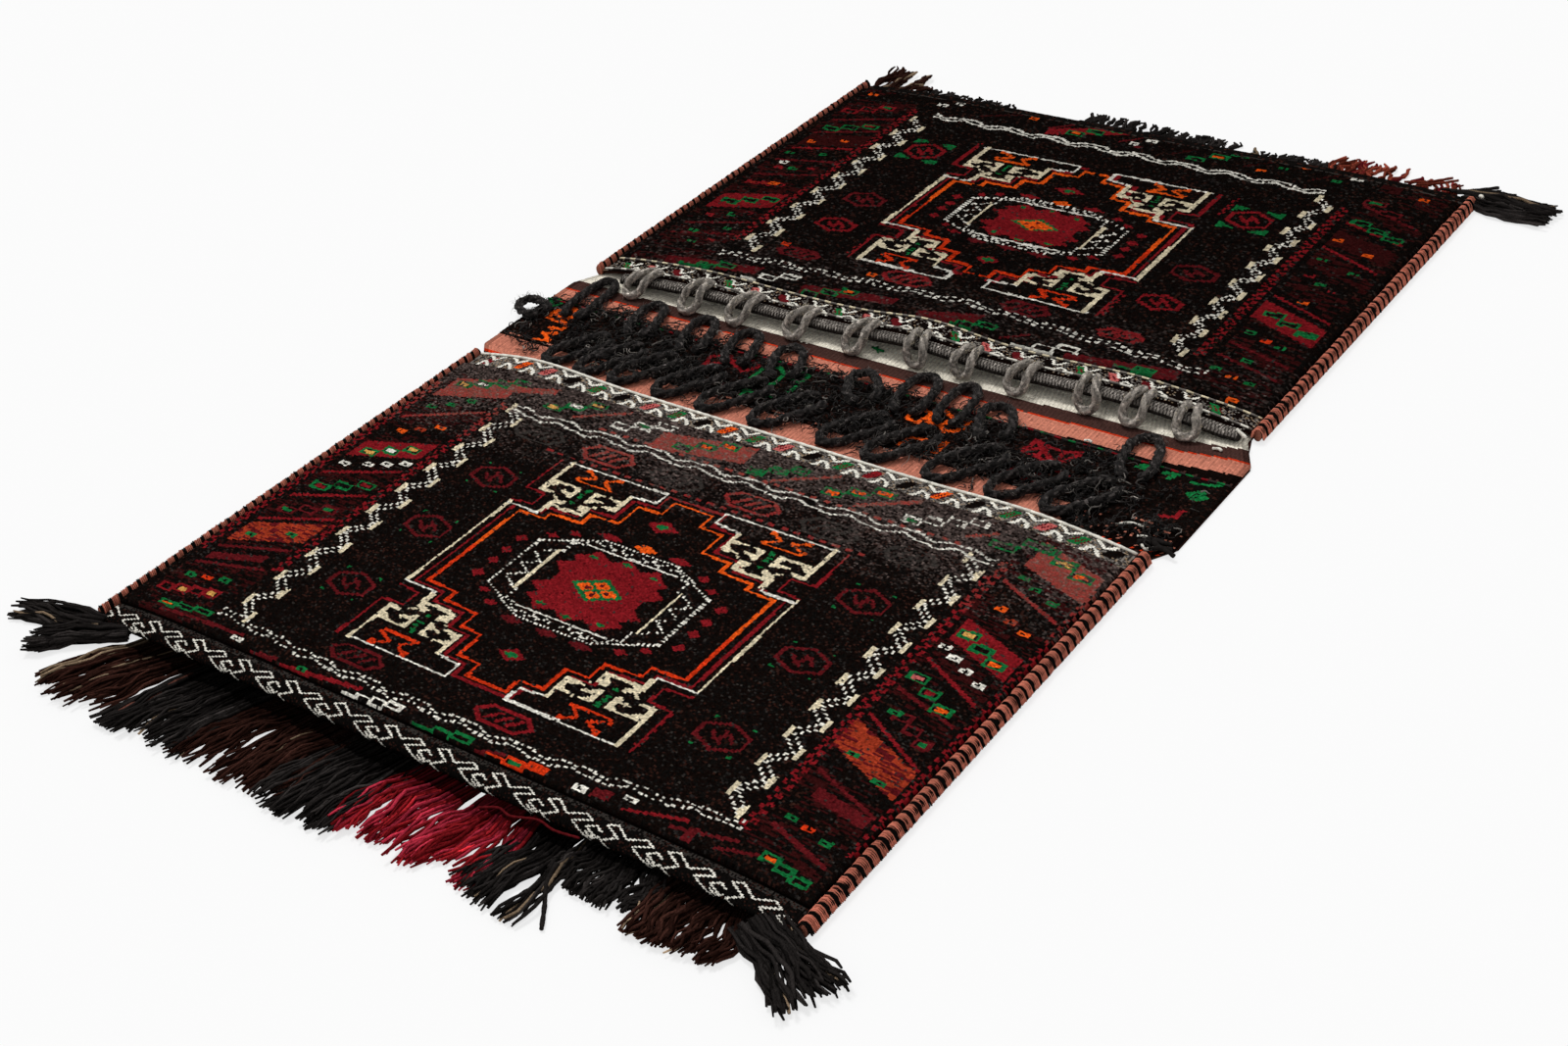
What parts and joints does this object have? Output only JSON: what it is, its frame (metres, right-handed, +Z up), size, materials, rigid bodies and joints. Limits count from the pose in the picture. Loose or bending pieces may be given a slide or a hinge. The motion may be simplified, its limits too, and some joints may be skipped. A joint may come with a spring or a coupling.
{
  "type": "double saddle bag",
  "caption": "Long woven strip folded over at both ends into two pile-faced pouches joined by a flat bridge, with corded sides, closure loops and yarn fringes, lying flat.",
  "frame": {"origin": "underside of the bridge, under the middle of its raised panel, on the surface that the bag lies on", "axes": "+Z up, +Y along the bag from the near pouch to the far one, +X to the right seen from the near pouch"},
  "size_m": [0.753, 1.0973, 0.0289],
  "materials": {
    "woven_wool": "knotted wool pile over flat weave, dark brown with red, green, orange and cream",
    "binding_wool": "overcast wool, salmon and dark brown",
    "grey_goat_hair": "matt twisted hair",
    "black_goat_hair": "matt fuzzy twisted hair",
    "black_yarn": "matt wool yarn",
    "brown_yarn": "matt wool yarn",
    "crimson_yarn": "matt wool yarn",
    "rust_yarn": "matt wool yarn",
    "white_thread": "matt cotton thread"
  },
  "bodies": {
    "root": {"woven_strip": "woven_wool", "near_left_binding": "binding_wool", "near_right_binding": "binding_wool", "far_left_binding": "binding_wool", "far_right_binding": "binding_wool", "far_mouth_roll": "grey_goat_hair", "grey_loop_01": "grey_goat_hair", "grey_loop_02": "grey_goat_hair", "grey_loop_03": "grey_goat_hair", "grey_loop_04": "grey_goat_hair", "grey_loop_05": "grey_goat_hair", "grey_loop_06": "grey_goat_hair", "grey_loop_07": "grey_goat_hair", "grey_loop_08": "grey_goat_hair", "grey_loop_09": "grey_goat_hair", "grey_loop_10": "grey_goat_hair", "grey_loop_11": "grey_goat_hair", "black_loop_near_01": "black_goat_hair", "black_loop_near_02": "black_goat_hair", "black_loop_near_03": "black_goat_hair", "black_loop_near_04": "black_goat_hair", "black_loop_near_05": "black_goat_hair", "black_loop_near_06": "black_goat_hair", "black_loop_near_07": "black_goat_hair", "black_loop_near_08": "black_goat_hair", "black_loop_near_09": "black_goat_hair", "black_loop_near_10": "black_goat_hair", "black_loop_near_11": "black_goat_hair", "black_loop_far_01": "black_goat_hair", "black_loop_far_02": "black_goat_hair", "black_loop_far_03": "black_goat_hair", "black_loop_far_04": "black_goat_hair", "black_loop_far_05": "black_goat_hair", "black_loop_far_06": "black_goat_hair", "black_loop_far_07": "black_goat_hair", "black_loop_far_08": "black_goat_hair", "black_loop_far_09": "black_goat_hair", "black_loop_far_10": "black_goat_hair", "black_loop_side": "black_goat_hair", "near_fringe_brown_left": "brown_yarn", "near_fringe_black_left": "black_yarn", "near_fringe_brown_middle": "brown_yarn", "near_fringe_black_middle": "black_yarn", "near_fringe_crimson": "crimson_yarn", "near_fringe_crimson_loose": "crimson_yarn", "near_fringe_black_knotted": "black_yarn", "near_fringe_black_short": "black_yarn", "near_fringe_brown_right": "brown_yarn", "near_tuft_left_outer": "black_yarn", "near_tuft_left_inner": "black_yarn", "near_tuft_right": "black_yarn", "far_tuft_brown_corner": "brown_yarn", "far_tuft_stubs_left": "black_yarn", "far_tuft_black_left": "black_yarn", "far_tuft_black_middle": "black_yarn", "far_tuft_black_right": "black_yarn", "far_tuft_rust": "rust_yarn", "far_tuft_rust_corner": "rust_yarn", "far_tuft_black_corner": "black_yarn", "white_tie": "white_thread"}
  },
  "joints": []
}
